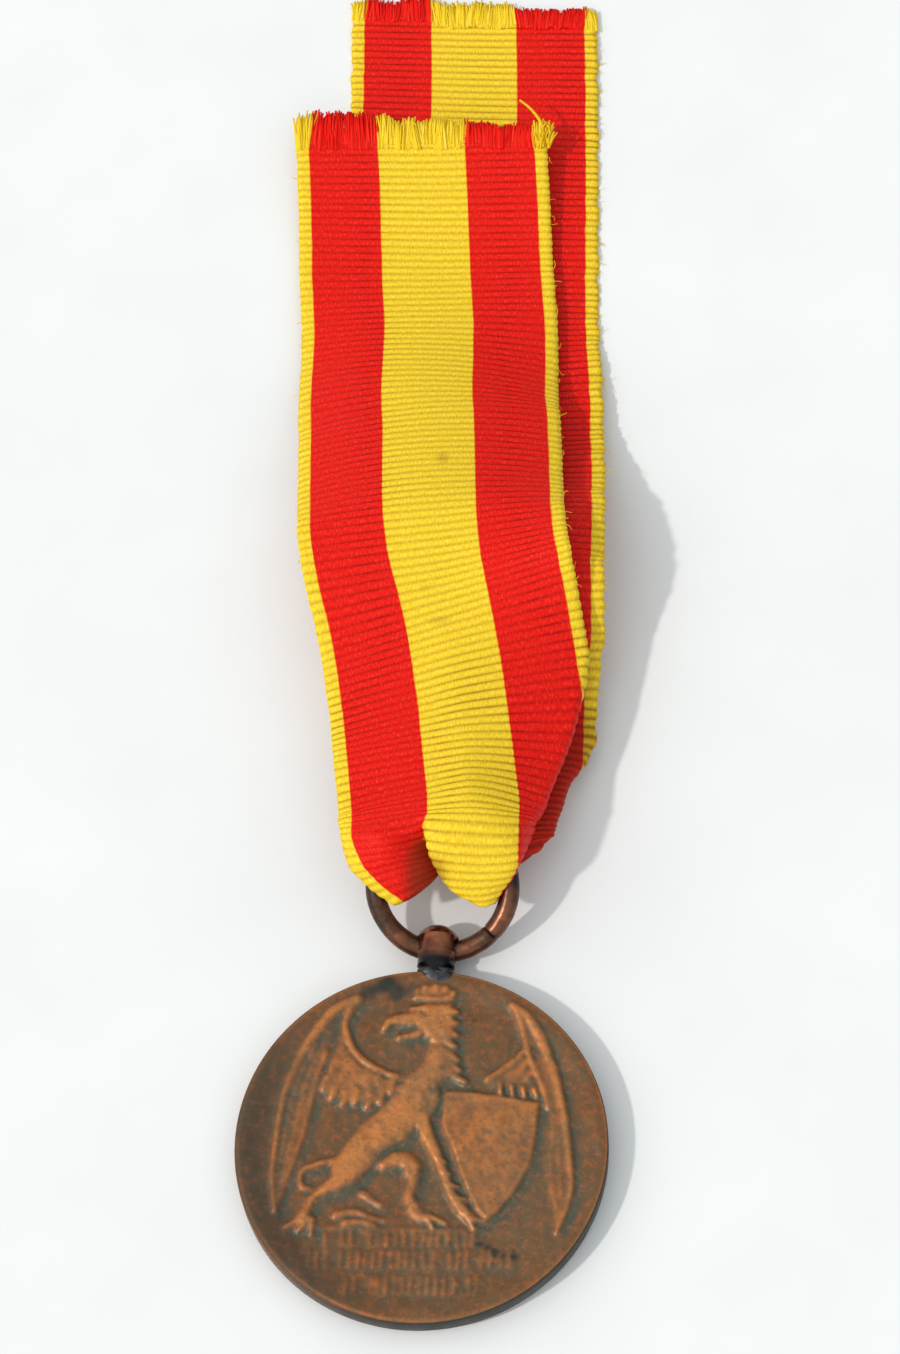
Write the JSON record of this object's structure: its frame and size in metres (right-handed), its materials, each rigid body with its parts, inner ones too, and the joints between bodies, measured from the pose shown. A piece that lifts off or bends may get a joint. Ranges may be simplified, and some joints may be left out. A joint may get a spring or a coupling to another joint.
{
  "type": "order medal",
  "caption": "Round struck medal on a ball lug and round ring, hung from a folded striped rep ribbon with frayed cut ends.",
  "frame": {"origin": "centre of the disc's reverse face", "axes": "+Y towards the ball lug and along the ribbon, +Z out of the obverse, +X to the right when the obverse is seen with the lug up"},
  "size_m": [0.0375, 0.1415, 0.0111],
  "materials": {
    "bronze": "worn brown patina",
    "lug_bronze": "glossy brown patina",
    "solder": "dull dark",
    "ring_wire": "worn copper brown",
    "ribbon": "ribbed silk, red with golden yellow stripes"
  },
  "bodies": {
    "medal": {"disc": "bronze", "ball_lug": "lug_bronze", "solder_fillet": "solder"},
    "ring": {"suspension_ring": "ring_wire"},
    "loop": {"ribbon_loop": "ribbon"},
    "front_strand": {"ribbon_front": "ribbon"},
    "back_strand": {"ribbon_back": "ribbon"}
  },
  "joints": [
    {"name": "ring_swing", "type": "hinge", "parent": "medal", "child": "ring", "pos_m": [0, 0.019, 0.0012], "axis": [-1, 0, 0], "range_deg": [-63, 108]},
    {"name": "loop_slide", "type": "hinge", "parent": "ring", "child": "loop", "pos_m": [0.0003, 0.02387, 0.00449], "axis": [0, -0.5592, 0.829], "range_deg": [-40, 40]},
    {"name": "front_lift", "type": "hinge", "parent": "loop", "child": "front_strand", "pos_m": [0, 0.02965, 0.0101], "axis": [1, 0, 0], "range_deg": [0, 95]},
    {"name": "back_drop", "type": "hinge", "parent": "loop", "child": "back_strand", "pos_m": [0, 0.03135, 0.0074], "axis": [1, 0, 0], "range_deg": [-62, 0]}
  ]
}
